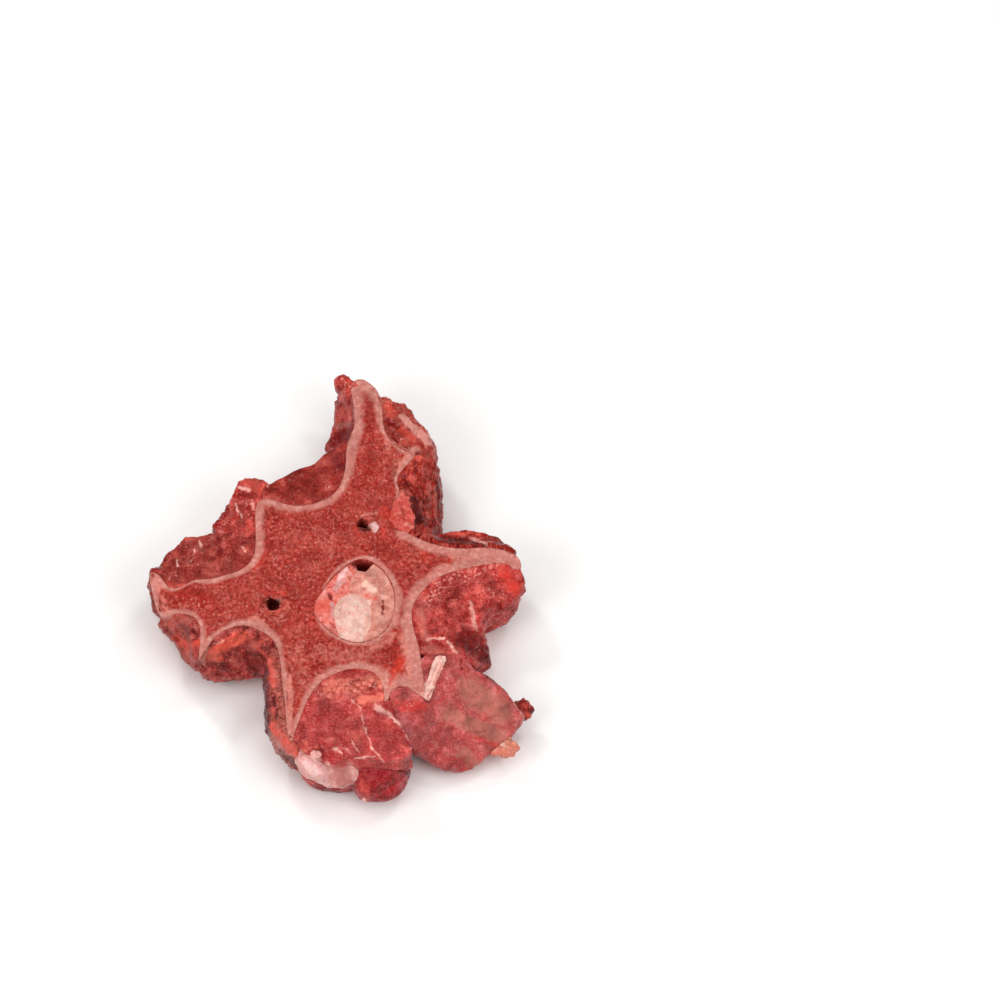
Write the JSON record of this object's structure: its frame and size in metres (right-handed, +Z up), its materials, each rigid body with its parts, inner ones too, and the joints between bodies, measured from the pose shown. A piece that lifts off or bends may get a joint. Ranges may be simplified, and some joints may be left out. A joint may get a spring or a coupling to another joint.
{
  "type": "raw beef neck bone slice",
  "caption": "Sawn slice of a raw beef neck bone: a star-shaped vertebra with cord, fat and vessels in its openings and red meat between its arms.",
  "frame": {"origin": "centre of the bounding box at the lower sawn face, on which the slice lies", "axes": "+Z up through the slice from one sawn face to the other, +Y along the long spinous process, +X to the right of it seen from above"},
  "size_m": [0.1432, 0.1702, 0.0362],
  "materials": {
    "bone": "freshly sawn spongy bone, moist",
    "muscle": "raw red meat, wet sheen",
    "dark_muscle": "dark raw meat, wet sheen",
    "tissue": "brown-red connective tissue, moist",
    "fat": "pink-white raw fat, moist",
    "cord": "off-white soft tissue, moist",
    "vein": "orange-red membrane, wet sheen",
    "ligament": "pink-white sinew, moist"
  },
  "bodies": {
    "root": {"vertebra": "bone", "spinal_cord": "cord", "canal_fat": "fat", "canal_vein": "vein", "vessel_left": "vein", "vessel_right": "fat", "meat_upper_left": "muscle", "meat_left": "muscle", "meat_left_edge": "muscle", "meat_hook": "muscle", "meat_lower_left": "dark_muscle", "fat_pad": "fat", "meat_bottom_lump": "muscle", "meat_bottom": "muscle", "side_tissue": "tissue", "meat_lower_right": "muscle", "meat_right": "muscle", "fat_flap": "ligament", "edge_nub": "dark_muscle", "ligament": "ligament", "meat_upper_right": "dark_muscle", "side_strip": "muscle", "meat_sliver": "dark_muscle", "fat_tag": "ligament", "tendon": "cord"}
  },
  "joints": []
}
